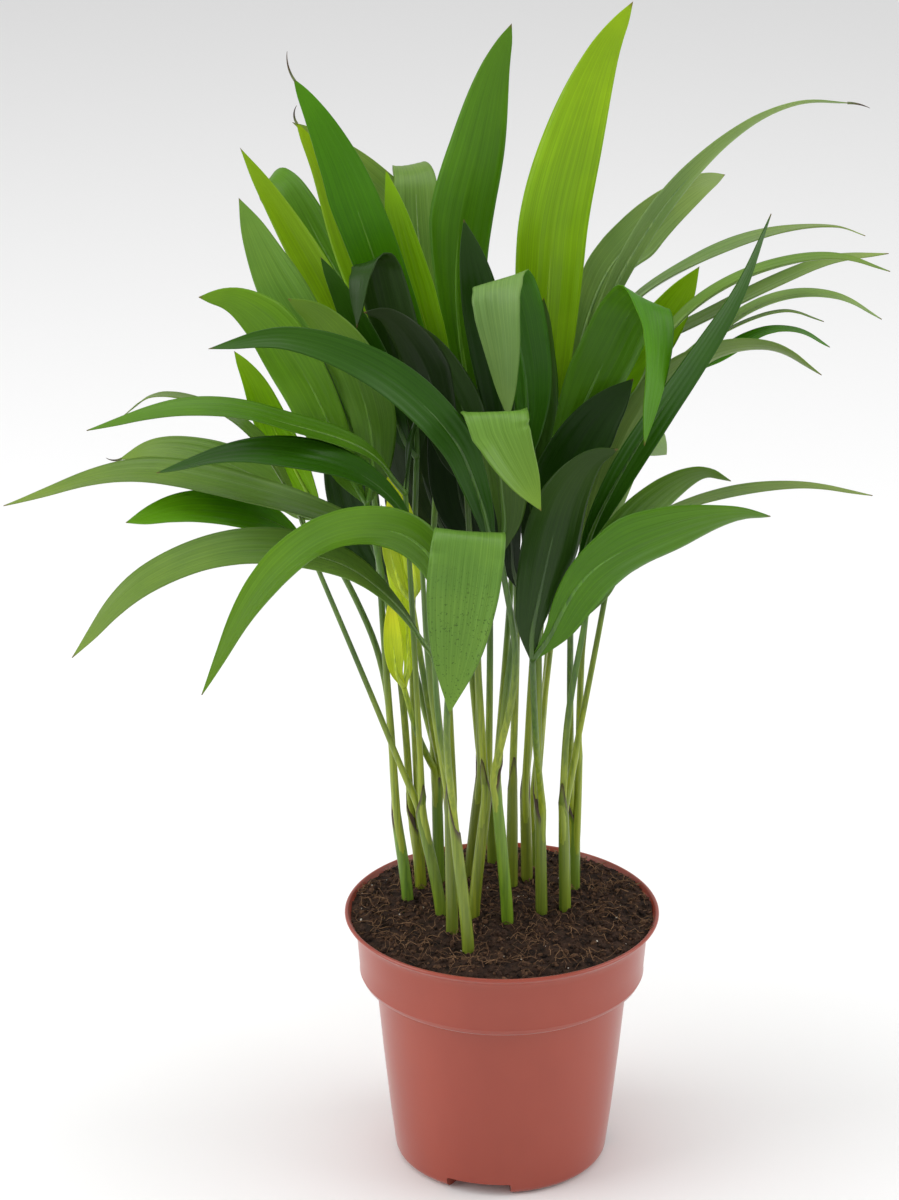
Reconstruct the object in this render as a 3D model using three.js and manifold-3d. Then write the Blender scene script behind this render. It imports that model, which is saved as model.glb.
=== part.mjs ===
// A young potted palm: a plastic grower's pot, the soil in it, seventeen seedling shoots
// and their two-lobed leaves. Millimetres, Z up, standing on z = 0.
import * as THREE from 'three';
import { mergeVertices } from 'three/addons/utils/BufferGeometryUtils.js';
import Module from 'manifold-3d';

const wasm = await Module();
wasm.setup();

// ---- Driving dimensions -------------------------------------------------------------

const potHeight = 102;
const lipRadius = 60;
const lipWidth = 1.5;
const lipDrop = 5;            // height of the flare under the lip
const collarTopRadius = 55.8;
const collarBottomRadius = 54.2;
const collarHeight = 25;      // from the lip down to the foot of the collar
const chamferHeight = 4;      // the slope from the collar in to the body
const bodyTopRadius = 48.3;
const bodyFootRadius = 41;
const footRounding = 4;
const wall = 1.4;
const potSides = 48;

const channelCount = 3;       // raised channels under the floor, with a foot between each two
const channelStart = -13;     // compass degrees of the first channel, from the front
const channelSpread = 36;     // degrees
const channelHeight = 5;
const channelInner = 15;
const channelOverlap = 4;     // degrees of wall on each channel's sides together
const drainRadius = 3;
const drainRing = 30;
const drainOffset = 9;        // degrees either side of a channel's middle
const drainReach = 20;        // length of the cutter, more than the floor is thick
const drainSides = 16;
const channelArcSides = 6;
const edgeRounding = 0.6;     // at the foot of the collar and outside the lip
const lipRounding = 0.8;

const gap = 0.3;              // clearance between pieces that touch
const soilCrown = 103;        // height of the soil in the middle
const soilEdge = 97;          // and at the wall
const soilRipple = 0.8;
const rippleAcross = 7;       // the ripple's length over 2 pi, left to right
const rippleDeep = 6;         // and front to back
const soilRings = [1, 0.85, 0.65, 0.45, 0.22];
const soilTopBand = 1;        // points this near to the edge height belong to the top
const channelClearance = 6;   // degrees of soil left out beyond each channel

const stemDepth = 18;         // how far a shoot reaches below the soil line
const stemFootRadius = 2.4;
const stemMouthRadius = 2.1;
const stemSides = 8;
const stemSteps = 6;

const stalkFootRadius = 1.1;
const stalkTopRadius = 1;
const stalkSides = 6;
const stalkSteps = 7;
const stalkLift = 1;          // the stalk's foot above its sheath's mouth, beside the gap
const stalkSpread = [0, 1.35, 1.55]; // how far one, two or three stalks stand off the mouth's middle
const crotchRise = 1.5;       // where the two lobes part, above the end of the stalk
const lobeThickness = 0.9;
const lobeThinning = 0.4;     // share of the thickness lost towards the tip
const lobePeak = 0.95;        // below 1 puts the widest part nearer the fork
const lobeFullness = 0.75;    // below 1 fills the outline out towards both ends
const lobeParting = 0.45;     // most of the space between two lobes that one of them takes
const forkShift = 1.6;        // how far the first sections of the two lobes step aside
const forkSteps = 4;          // and over how many sections that fades
const stepsPerSpan = 3;       // blade sections between two guide points

const degree = Math.PI / 180;

// ---- Colours and finishes -----------------------------------------------------------

const materials = {
  pot: new THREE.MeshStandardMaterial({ color: 0xa0553f, roughness: 0.45, metalness: 0 }),
  soil: new THREE.MeshStandardMaterial({ color: 0x2e211a, roughness: 0.95, metalness: 0 }),
  stem: new THREE.MeshStandardMaterial({ color: 0x6f8a2c, roughness: 0.5, metalness: 0 }),
  leaf: new THREE.MeshStandardMaterial({ color: 0x3f7a14, roughness: 0.4, metalness: 0 }),
};

// ---- Small tools --------------------------------------------------------------------

const vec = (p) => new THREE.Vector3(...p);

function toManifold(geometry) {
  const bare = geometry.clone().deleteAttribute('normal').deleteAttribute('uv');
  const merged = mergeVertices(bare, 1e-4);
  return new wasm.Manifold(new wasm.Mesh({
    numProp: 3,
    vertProperties: new Float32Array(merged.attributes.position.array),
    triVerts: new Uint32Array(merged.index.array),
  }));
}

function toGeometry(solid) {
  const mesh = solid.getMesh();
  const geometry = new THREE.BufferGeometry();
  geometry.setAttribute('position', new THREE.BufferAttribute(new Float32Array(mesh.vertProperties), 3));
  geometry.setIndex(new THREE.BufferAttribute(new Uint32Array(mesh.triVerts), 1));
  return geometry;
}

function fromTriangles(points, triangles) {
  const geometry = new THREE.BufferGeometry();
  const numbers = points.flatMap((p) => [p.x, p.y, p.z]);
  geometry.setAttribute('position', new THREE.Float32BufferAttribute(numbers, 3));
  geometry.setIndex(triangles.flat());
  return geometry;
}

function piece(name, geometry, material) {
  const mesh = new THREE.Mesh(geometry, material);
  geometry.computeVertexNormals();
  mesh.name = name;
  return mesh;
}

// Faces between two rings of the same length, each ring a list of point numbers.
function bridge(lower, upper) {
  return lower.flatMap((a, i) => {
    const b = lower[(i + 1) % lower.length];
    const c = upper[(i + 1) % upper.length];
    const d = upper[i];
    return [[a, b, c], [a, c, d]];
  });
}

// A round solid of changing radius along a curve, closed with flat ends.
function taperedRod(curve, steps, sides, radiusAt) {
  const points = [];
  const rings = [];
  const triangles = [];
  for (let i = 0; i <= steps; i += 1) {
    const centre = curve.getPointAt(i / steps);
    const along = curve.getTangentAt(i / steps);
    const right = new THREE.Vector3(1, 0, 0).addScaledVector(along, -along.x).normalize();
    const back = along.clone().cross(right);
    rings.push([]);
    for (let k = 0; k < sides; k += 1) {
      const angle = (k / sides) * 2 * Math.PI;
      const r = radiusAt(i / steps);
      rings[i].push(points.length);
      points.push(centre.clone().addScaledVector(right, r * Math.cos(angle))
        .addScaledVector(back, r * Math.sin(angle)));
    }
    if (i > 0) triangles.push(...bridge(rings[i - 1], rings[i]));
  }
  const fan = (ring) => ring.slice(2).map((_, k) => [ring[0], ring[k + 1], ring[k + 2]]);
  triangles.push(...fan([...rings[0]].reverse()), ...fan(rings[steps]));
  return fromTriangles(points, triangles);
}

// A slice of a ring between two radii, two heights and two compass directions.
function wedge(inner, outer, bottom, top, middle, spread) {
  const start = (middle - spread / 2 - 90) * degree;
  const end = (middle + spread / 2 - 90) * degree;
  const outline = new THREE.Shape();
  outline.absarc(0, 0, outer, start, end, false);
  outline.absarc(0, 0, inner, end, start, true);
  const extrusion = { depth: top - bottom, bevelEnabled: false, curveSegments: channelArcSides };
  return toManifold(new THREE.ExtrudeGeometry(outline, extrusion).translate(0, 0, bottom));
}

function lathe(profile) {
  const points = profile.map(([radius, height]) => new THREE.Vector2(radius, height));
  return toManifold(new THREE.LatheGeometry(points, potSides).rotateX(Math.PI / 2));
}

// ---- Pot ----------------------------------------------------------------------------

const collarFoot = potHeight - collarHeight;
const bodyTop = collarFoot - chamferHeight;
const innerFloor = wall;

// The inner wall from the floor up to the lip, moved in by the given clearance.
function innerProfile(inset) {
  const shift = wall + inset;
  return [
    [bodyFootRadius - footRounding - inset, innerFloor + inset],
    [bodyFootRadius - shift - 1, innerFloor + inset + 1],
    [bodyFootRadius - shift, innerFloor + inset + footRounding],
    [bodyTopRadius - shift, bodyTop + wall / 2],
    [collarBottomRadius - shift, collarFoot + wall / 2],
    [collarTopRadius - shift, potHeight - lipDrop],
  ];
}

const channelMiddles = [...Array(channelCount).keys()].map((i) => channelStart + (i * 360) / channelCount);

function buildPot() {
  const corner = footRounding * (1 - Math.SQRT1_2);
  const outside = [
    [0, 0],
    [bodyFootRadius - footRounding, 0],
    [bodyFootRadius - corner, corner],
    [bodyFootRadius, footRounding],
    [bodyTopRadius, bodyTop],
    [collarBottomRadius - edgeRounding, collarFoot - edgeRounding],
    [collarBottomRadius, collarFoot],
    [collarTopRadius, potHeight - lipDrop],
    [lipRadius - edgeRounding, potHeight - 2 * lipRounding],
    [lipRadius, potHeight - lipRounding],
    [lipRadius - edgeRounding, potHeight],
    [lipRadius - lipWidth, potHeight],
  ];
  let pot = lathe([...outside, ...innerProfile(0).reverse(), [0, innerFloor]]);
  for (const middle of channelMiddles) {
    const reach = bodyFootRadius - wall;
    const roof = channelHeight + wall;
    const spread = channelSpread + channelOverlap;
    pot = pot.add(wedge(channelInner - wall, reach, wall / 2, roof, middle, spread));
    pot = pot.subtract(wedge(channelInner, lipRadius, -1, channelHeight, middle, channelSpread));
    for (const side of [-1, 1]) {
      const angle = (middle + side * drainOffset - 90) * degree;
      const drain = new THREE.CylinderGeometry(drainRadius, drainRadius, drainReach, drainSides);
      drain.rotateX(Math.PI / 2);
      drain.translate(drainRing * Math.cos(angle), drainRing * Math.sin(angle), 0);
      pot = pot.subtract(toManifold(drain));
    }
  }
  return piece('pot', toGeometry(pot), materials.pot);
}

// ---- Shoots -------------------------------------------------------------------------

// Where each shoot leaves the soil [x, y] and where its sheath opens [x, y, z].
const shoots = {
  1: { foot: [-36, 6], mouth: [-40, 8, 135] },
  2: { foot: [-31, 17], mouth: [-33, 18, 128] },
  3: { foot: [-23, -8], mouth: [-31, -7, 146] },
  4: { foot: [-19, -23], mouth: [-20, -22, 158] },
  5: { foot: [-13, -36], mouth: [-18, -34, 151] },
  6: { foot: [-11, -12], mouth: [-6, -11, 155] },
  7: { foot: [-12, 25], mouth: [-8, 24, 148] },
  8: { foot: [2, -15], mouth: [-3, -18, 164] },
  9: { foot: [4, 14], mouth: [4, 14, 146] },
  10: { foot: [10, 23], mouth: [9, 23, 140] },
  11: { foot: [15, -6], mouth: [14, -7, 146] },
  12: { foot: [24, -4], mouth: [23, -4, 144] },
  13: { foot: [28, 15], mouth: [28, 15, 132] },
  14: { foot: [-24, 20], mouth: [-25, 19, 150] },
  15: { foot: [-19, 37], mouth: [-20, 38, 130] },
  16: { foot: [-3, 40], mouth: [-4, 41, 126] },
  17: { foot: [13, 36], mouth: [13, 37, 130] },
};

const twoDigits = (number) => String(number).padStart(2, '0');

function stemCurve({ foot, mouth }, extra) {
  const bottom = new THREE.Vector3(foot[0], foot[1], soilEdge - stemDepth - extra);
  const soilLine = new THREE.Vector3(foot[0], foot[1], soilCrown);
  return new THREE.CatmullRomCurve3([bottom, soilLine, vec(mouth)], false, 'centripetal');
}

function stemSolid(shoot, clearance) {
  const radiusAt = (t) => stemFootRadius + (stemMouthRadius - stemFootRadius) * t + clearance;
  return taperedRod(stemCurve(shoot, clearance), stemSteps, stemSides, radiusAt);
}

function buildStem(number) {
  return piece(`stem_${twoDigits(number)}`, stemSolid(shoots[number], 0), materials.stem);
}

// ---- Soil ---------------------------------------------------------------------------

function soilHeight(x, y) {
  const out = Math.hypot(x, y) / collarTopRadius;
  const dome = soilCrown + (soilEdge - soilCrown) * out * out;
  const ripple = Math.sin(x / rippleAcross + 1) * Math.cos(y / rippleDeep);
  return dome + soilRipple * ripple * (1 - out);
}

function buildSoil() {
  const edge = innerProfile(gap).filter(([, height]) => height < soilEdge - soilTopBand);
  const wallSlope = (collarTopRadius - collarBottomRadius) / (collarHeight - lipDrop);
  const edgeRadius = collarBottomRadius - wall - gap + wallSlope * (soilEdge - collarFoot);
  const rings = soilRings.map((share) => [edgeRadius * share, soilEdge]);
  const geometry = new THREE.LatheGeometry(
    [[0, innerFloor + gap], ...edge, ...rings, [0, soilEdge]].map(([r, z]) => new THREE.Vector2(r, z)),
    potSides,
  ).rotateX(Math.PI / 2);
  const position = geometry.attributes.position;
  for (let i = 0; i < position.count; i += 1) {
    if (position.getZ(i) > soilEdge - soilTopBand) {
      position.setZ(i, soilHeight(position.getX(i), position.getY(i)));
    }
  }
  let soil = toManifold(geometry);
  for (const middle of channelMiddles) {
    const roof = channelHeight + wall + gap;
    const spread = channelSpread + channelClearance;
    soil = soil.subtract(wedge(channelInner - wall - gap, lipRadius, -1, roof, middle, spread));
  }
  for (const shoot of Object.values(shoots)) {
    soil = soil.subtract(toManifold(stemSolid(shoot, gap)));
  }
  return piece('soil', toGeometry(soil), materials.soil);
}

// ---- Leaves -------------------------------------------------------------------------

// Each leaf: the shoot it grows from, the point its stalk passes, the point where the blade
// forks, the direction across the blade at the fork, and two lobes. A lobe has the points it
// passes (the last is its tip), its greatest width, and how far it twists on its way.
const leaf = (shoot, mid, fork, across, ...lobes) => ({ shoot, mid, fork, across, lobes });
const lobe = (wide, twist, ...via) => ({ wide, twist, via });
const wideOn = [1, 0, 0];
const deepOn = [0, 1, 0];
const leaves = [
  // low at the front left
  leaf(4, [-24, -30, 190], [-26, -35, 221], deepOn,
    lobe(22, 0, [-40, -41, 244], [-61, -45, 261], [-97, -55, 269], [-130, -60, 257],
      [-154, -62, 231]),
    lobe(14, 0, [-27, -38, 245], [-30, -42, 262], [-36, -44, 277])),
  leaf(3, [-51, -9, 200], [-70, -10, 250], deepOn,
    lobe(22, 0, [-78, -14, 261], [-91, -22, 270], [-116, -29, 275], [-136, -32, 271]),
    lobe(20, 0, [-78, -2, 270], [-92, 3, 292], [-111, 7, 303], [-128, 9, 305], [-139, 11, 297])),
  leaf(4, [-27, -22, 205], [-30, -26, 257], deepOn,
    lobe(18, 0, [-39, -36, 280], [-56, -42, 295], [-92, -42, 301], [-124, -38, 292]),
    lobe(24, 0, [-42, -28, 263], [-58, -27, 269], [-92, -20, 277], [-135, -18, 284], [-181, -20, 273])),
  leaf(8, [4, -32, 215], [-2, -45, 264], [1, 0, 0.25],
    lobe(14, 60, [-9, -50, 288], [-20, -53, 312], [-44, -57, 336], [-76, -60, 349], [-103, -62, 346]),
    lobe(25, 0, [-3, -45, 295], [-5, -48, 316], [-4, -54, 320], [-2, -60, 314], [12, -66, 288])),
  leaf(5, [-21, -46, 195], [-18, -55, 246], wideOn,
    lobe(20, 0, [-26, -58, 268], [-40, -62, 279], [-62, -71, 280], [-84, -84, 266], [-106, -96, 231]),
    lobe(26, 0, [-14, -62, 270], [-13, -66, 280], [-13, -72, 281], [-14, -76, 274], [-20, -80, 217])),
  // low at the front right
  leaf(11, [12, -22, 180], [10, -40, 221], wideOn,
    lobe(26, 25, [28, -48, 257], [56, -58, 277], [80, -64, 286], [92, -66, 286]),
    lobe(20, 0, [14, -43, 252], [20, -46, 283], [30, -50, 301], [39, -52, 306])),
  leaf(12, [24, -10, 185], [30, -16, 229], wideOn,
    lobe(17, 30, [38, -30, 259], [57, -36, 284], [70, -38, 292], [80, -38, 289]),
    lobe(17, 60, [36, -6, 262], [46, -3, 292], [60, -4, 315], [78, -6, 327], [97, -6, 328],
      [114, -6, 318])),
  leaf(13, [25, -2, 190], [24, -22, 248], wideOn,
    lobe(13, 60, [33, -22, 270], [51, -25, 304], [66, -27, 329], [81, -29, 356], [92, -30, 385]),
    lobe(22, 0, [20, -18, 276], [30, -16, 300], [46, -13, 319])),
  leaf(13, [30, 18, 190], [31, 16, 231], deepOn,
    lobe(9, 0, [50, 13, 252], [80, 12, 265], [110, 12, 269], [136, 10, 266]),
    lobe(18, 0, [38, 36, 256], [54, 58, 268], [64, 84, 256])),
  // upright at the front
  leaf(9, [5, 4, 215], [4, -8, 281], wideOn,
    lobe(17, 0, [-1, -9, 316], [-8, -6, 344], [-15, -2, 375]),
    lobe(22, 0, [7, -12, 312], [3, -15, 342], [-2, -19, 358], [-3, -24, 355], [-1, -28, 336],
      [1, -29, 309])),
  leaf(11, [13, -7, 205], [12, -6, 263], wideOn,
    lobe(22, 0, [24, -8, 298], [37, -11, 328], [45, -13, 345], [50, -22, 351], [53, -31, 337],
      [49, -37, 302]),
    lobe(16, 0, [12, 1, 295], [12, 3, 322], [14, 4, 344])),
  leaf(6, [-10, -16, 215], [-14, -22, 282], wideOn,
    lobe(16, 0, [-22, -26, 308], [-31, -30, 334], [-42, -34, 349], [-50, -36, 351]),
    lobe(15, 0, [-15, -17, 305], [-23, -12, 324], [-31, -9, 338])),
  leaf(2, [-34, 12, 205], [-32, 1, 284], wideOn,
    lobe(18, 0, [-37, 2, 315], [-43, 2, 344], [-47, 0, 359], [-51, -8, 357], [-53, -13, 338]),
    lobe(12, 0, [-41, -6, 308], [-50, -7, 330], [-58, -6, 347], [-66, -5, 362])),
  // upright, left of the middle
  leaf(1, [-44, 4, 205], [-48, -2, 280], wideOn,
    lobe(21, 0, [-58, -5, 306], [-70, -5, 334], [-82, -3, 354], [-95, 1, 382]),
    lobe(13, 0, [-54, 6, 314], [-62, 9, 338], [-77, 13, 366], [-95, 17, 396])),
  leaf(2, [-39, 5, 200], [-50, -12, 271], wideOn,
    lobe(22, 15, [-62, -17, 302], [-73, -21, 325], [-85, -25, 344], [-96, -28, 353], [-108, -31, 355]),
    lobe(20, 0, [-49, -16, 300], [-55, -19, 326], [-66, -21, 344], [-77, -23, 352])),
  leaf(1, [-46, 11, 200], [-70, 15, 255], wideOn,
    lobe(13, 0, [-77, 16, 272], [-86, 18, 293], [-92, 20, 307], [-99, 22, 318]),
    lobe(15, 40, [-81, 26, 260], [-95, 29, 268], [-111, 29, 275], [-130, 28, 278], [-143, 27, 274])),
  leaf(3, [-33, -12, 210], [-36, -18, 277], deepOn,
    lobe(13, 0, [-49, -26, 296], [-76, -35, 309], [-96, -37, 315], [-118, -39, 316], [-148, -41, 309]),
    lobe(12, 0, [-33, -12, 296], [-28, -9, 314])),
  leaf(14, [-27, 16, 215], [-24, 12, 291], wideOn,
    lobe(20, 0, [-37, 15, 324], [-48, 17, 357], [-58, 19, 386], [-67, 22, 405], [-76, 27, 419]),
    lobe(15, 0, [-42, 27, 322], [-55, 33, 353], [-66, 38, 382], [-76, 43, 399])),
  leaf(7, [-10, 22, 215], [-14, 20, 292], wideOn,
    lobe(23, 0, [-18, 24, 335], [-16, 24, 366], [-10, 21, 395], [-4, 17, 424], [2, 14, 442]),
    lobe(14, 0, [-27, 17, 326], [-34, 19, 349], [-43, 21, 387])),
  // upright, right of the middle
  leaf(10, [12, 20, 205], [18, 13, 280], wideOn,
    lobe(25, 0, [16, 10, 325], [17, 8, 367], [23, 5, 398], [34, 2, 434], [44, 0, 453]),
    lobe(20, 0, [34, 16, 306], [54, 19, 325], [71, 23, 350])),
  leaf(17, [19, 36, 210], [27, 35, 302], wideOn,
    lobe(18, 20, [38, 42, 340], [54, 52, 358], [72, 62, 369], [83, 72, 371]),
    lobe(9, 80, [40, 31, 340], [64, 34, 377], [89, 38, 399], [108, 42, 406], [126, 46, 405])),
  leaf(17, [19, 30, 205], [30, 24, 308], deepOn,
    lobe(15, 0, [46, 27, 334], [68, 33, 347], [98, 38, 358], [122, 40, 360], [133, 42, 356]),
    lobe(13, 0, [50, 29, 316], [76, 29, 329], [100, 28, 342], [120, 27, 351], [140, 26, 354])),
  leaf(13, [31, 7, 220], [46, 5, 304], deepOn,
    lobe(13, 0, [60, 8, 330], [79, 9, 346], [101, 9, 355], [121, 10, 357], [139, 10, 352]),
    lobe(12, 0, [68, 10, 320], [88, 12, 336], [105, 13, 342], [122, 13, 341], [137, 13, 333])),
  leaf(12, [36, 5, 215], [48, 12, 290], deepOn,
    lobe(13, 0, [62, 9, 310], [78, 8, 320], [95, 8, 330], [107, 8, 330], [118, 8, 324]),
    lobe(8, 0, [66, 18, 315], [84, 22, 327], [103, 23, 333], [117, 23, 329])),
  // young yellow leaves and the dark ones inside
  leaf(14, [-29, 8, 190], [-34, -6, 231], wideOn,
    lobe(9, 0, [-34, -6, 243], [-37, -6, 262], [-43, -6, 283]),
    lobe(6, 0, [-40, -4, 245], [-43, -5, 258], [-45, -5, 268])),
  leaf(14, [-32, 6, 172], [-37, -1, 194], wideOn,
    lobe(7, 0, [-40, -7, 214], [-42, -11, 234]),
    lobe(7, 0, [-37, 5, 218], [-41, 10, 244], [-42, 14, 270])),
  leaf(7, [-12, 28, 192], [-17, 31, 236], wideOn,
    lobe(25, 0, [-28, 31, 262], [-36, 31, 292], [-40, 30, 324]),
    lobe(22, 0, [-9, 32, 260], [-5, 33, 290], [-6, 34, 320])),
  leaf(6, [-5, -5, 205], [-5, 0, 244], wideOn,
    lobe(20, 0, [-15, 3, 266], [-19, 7, 290], [-21, 11, 316]),
    lobe(15, 0, [0, 4, 268], [1, 8, 292], [2, 12, 314])),
  leaf(8, [1, -18, 200], [6, -14, 238], wideOn,
    lobe(12, 0, [3, -18, 262], [1, -20, 284], [0, -22, 300]),
    lobe(8, 0, [9, -14, 260], [8, -15, 278], [7, -16, 292])),
  // the back of the plant
  leaf(15, [-22, 42, 215], [-24, 42, 288], wideOn,
    lobe(18, 0, [-29, 50, 325], [-32, 60, 358], [-33, 68, 371], [-36, 84, 371], [-39, 100, 354]),
    lobe(15, 0, [-46, 48, 314], [-66, 54, 346], [-79, 62, 368], [-85, 70, 371], [-91, 86, 361])),
  leaf(16, [-12, 44, 200], [-10, 50, 290], wideOn,
    lobe(14, 0, [-22, 64, 338], [-48, 74, 368], [-64, 80, 380], [-79, 84, 388]),
    lobe(20, 0, [2, 64, 305], [8, 88, 316], [14, 112, 306], [18, 134, 282])),
  leaf(15, [-26, 46, 190], [-22, 58, 243], wideOn,
    lobe(20, 0, [-38, 82, 274], [-50, 110, 284], [-58, 138, 262], [-62, 152, 234]),
    lobe(20, 0, [-18, 88, 276], [-16, 120, 288], [-12, 150, 268], [-8, 164, 240])),
  leaf(16, [2, 50, 190], [6, 62, 246], wideOn,
    lobe(22, 0, [8, 92, 276], [12, 122, 284], [18, 150, 264], [22, 164, 236]),
    lobe(20, 0, [24, 82, 272], [38, 108, 282], [50, 132, 268], [58, 146, 246])),
  leaf(10, [14, 28, 200], [18, 36, 262], wideOn,
    lobe(16, 0, [18, 54, 290], [24, 76, 308], [30, 100, 304], [34, 120, 284]),
    lobe(14, 0, [30, 46, 282], [44, 58, 292], [56, 72, 284])),
  leaf(15, [-31, 43, 172], [-39, 40, 214], wideOn,
    lobe(21, 0, [-50, 36, 240], [-58, 34, 266], [-63, 32, 292]),
    lobe(18, 0, [-37, 39, 242], [-36, 39, 270], [-36, 40, 296])),
];

// How wide a lobe is at a share of its length, as a share of its greatest width.
function lobeOutline(share) {
  return Math.sin(Math.PI * share ** lobePeak) ** lobeFullness;
}

// The blade's across direction at each point of a lobe, carried along without needless roll.
function carriedAcross(tangents, across, twist) {
  const result = [];
  let current = across.clone();
  tangents.forEach((along, i) => {
    current = current.clone().addScaledVector(along, -current.dot(along)).normalize();
    const turn = (twist * degree * i) / (tangents.length - 1);
    result.push(current.clone().applyAxisAngle(along, turn));
  });
  return result;
}

function lobeFrame(fork, lobe, across) {
  const curve = new THREE.CatmullRomCurve3([fork, ...lobe.via.map(vec)], false, 'centripetal');
  const steps = lobe.via.length * stepsPerSpan;
  const stations = Array.from({ length: steps + 1 }, (_, i) => i / steps);
  const centres = stations.map((t) => curve.getPoint(t));
  const tangents = stations.map((t) => curve.getTangent(t));
  const lengths = [0];
  for (let i = 1; i <= steps; i += 1) {
    lengths.push(lengths[i - 1] + centres[i].distanceTo(centres[i - 1]));
  }
  const shares = lengths.map((length) => length / lengths[steps]);
  const sides = carriedAcross(tangents, across, lobe.twist);
  return { curve, steps, centres, tangents, shares, sides };
}

// Adds one lobe, starting from the four points of its half of the fork.
function addLobe(points, triangles, start, lobe, frame, outward, other) {
  let ring = start;
  for (let i = 1; i < frame.steps; i += 1) {
    const side = frame.sides[i].clone().multiplyScalar(outward);
    const up = frame.tangents[i].clone().cross(side).normalize();
    const half = Math.max(stalkTopRadius, 0.5 * lobe.wide * lobeOutline(frame.shares[i]));
    const aside = outward * forkShift * Math.max(0, 1 - (i - 1) / forkSteps);
    const centre = frame.centres[i].clone().addScaledVector(frame.sides[0], aside);
    const apart = centre.distanceTo(other.curve.getPoint(Math.min(1, i / other.steps)));
    const inner = Math.min(half, lobeParting * apart);
    const thick = lobeThickness * (1 - lobeThinning * frame.shares[i]);
    const next = [0, 1, 2, 3].map((k) => points.length + k);
    points.push(centre.clone().addScaledVector(side, half));
    points.push(centre.clone().addScaledVector(up, thick / 2));
    points.push(centre.clone().addScaledVector(side, -inner));
    points.push(centre.clone().addScaledVector(up, -thick / 2));
    triangles.push(...bridge(ring, next));
    ring = next;
  }
  const tip = points.length;
  points.push(frame.centres[frame.steps]);
  ring.forEach((a, k) => triangles.push([a, ring[(k + 1) % 4], tip]));
}

// The stalk from its foot up to the fork. Returns its last ring of points.
function addStalk(points, triangles, curve, across) {
  let ring = [];
  for (let i = 0; i <= stalkSteps; i += 1) {
    const share = i / stalkSteps;
    const centre = curve.getPointAt(share);
    const along = curve.getTangentAt(share);
    const radius = stalkFootRadius + (stalkTopRadius - stalkFootRadius) * share;
    const right = across.clone().addScaledVector(along, -across.dot(along)).normalize();
    const rear = along.clone().cross(right);
    const next = [];
    for (let k = 0; k < stalkSides; k += 1) {
      const angle = (k / stalkSides) * 2 * Math.PI;
      next.push(points.length);
      points.push(centre.clone().addScaledVector(right, radius * Math.cos(angle))
        .addScaledVector(rear, radius * Math.sin(angle)));
    }
    if (i > 0) {
      triangles.push(...bridge(ring, next));
    }
    ring = next;
  }
  for (let k = 2; k < stalkSides; k += 1) {
    triangles.push([0, k, k - 1]);
  }
  return ring;
}

function leafSolid(leaf, stalkFoot) {
  const fork = vec(leaf.fork);
  const stalk = new THREE.CatmullRomCurve3([stalkFoot, vec(leaf.mid), fork], false, 'centripetal');
  const along = stalk.getTangentAt(1);
  const across = vec(leaf.across);
  across.addScaledVector(along, -across.dot(along)).normalize();
  const points = [];
  const triangles = [];
  const top = addStalk(points, triangles, stalk, across);
  const [right, backRight, backLeft, left, frontLeft, frontRight] = top;
  const crotch = points.length;
  points.push(fork.clone().addScaledVector(along, crotchRise));
  triangles.push([frontLeft, frontRight, crotch], [backRight, backLeft, crotch]);
  const frames = leaf.lobes.map((lobe) => lobeFrame(fork, lobe, across));
  const reach = frames.map((frame) => frame.centres[stepsPerSpan].clone().sub(fork).dot(across));
  const [one, two] = reach[0] > reach[1] ? [0, 1] : [1, 0];
  const startOne = [right, backRight, crotch, frontRight];
  const startTwo = [left, frontLeft, crotch, backLeft];
  addLobe(points, triangles, startOne, leaf.lobes[one], frames[one], 1, frames[two]);
  addLobe(points, triangles, startTwo, leaf.lobes[two], frames[two], -1, frames[one]);
  return fromTriangles(points, triangles);
}

// The foot of each stalk sits on its shoot's mouth, the stalks of one shoot side by side,
// each on the side that it leans to.
function stalkFoot(entry) {
  const mates = leaves.filter((other) => other.shoot === entry.shoot);
  const { mouth } = shoots[entry.shoot];
  const lean = (mate) => new THREE.Vector2(mate.mid[0] - mouth[0], mate.mid[1] - mouth[1]).normalize();
  const mean = mates.reduce((sum, mate) => sum.add(lean(mate)), new THREE.Vector2()).angle();
  const offMean = (mate) => Math.atan2(
    Math.sin(lean(mate).angle() - mean),
    Math.cos(lean(mate).angle() - mean),
  );
  const order = [...mates].sort((a, b) => offMean(a) - offMean(b));
  const slot = order.indexOf(entry) - (mates.length - 1) / 2;
  const angle = mean + (slot * 2 * Math.PI) / mates.length;
  const spread = stalkSpread[mates.length - 1];
  const [x, y, z] = mouth;
  return new THREE.Vector3(
    x + spread * Math.cos(angle),
    y + spread * Math.sin(angle),
    z + gap + stalkLift,
  );
}

function buildLeaf(entry, index) {
  return piece(`leaf_${twoDigits(index + 1)}`, leafSolid(entry, stalkFoot(entry)), materials.leaf);
}

// ---- The whole plant ----------------------------------------------------------------

const plant = new THREE.Group();
plant.add(buildPot(), buildSoil());
plant.add(...Object.keys(shoots).map(buildStem));
plant.add(...leaves.map(buildLeaf));

export default plant;
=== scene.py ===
"""A young potted palm in a plastic grower's pot: the finished pot, soil, shoots and leaves."""

import math
import random

import bpy
import numpy as np
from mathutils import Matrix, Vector, noise


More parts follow.
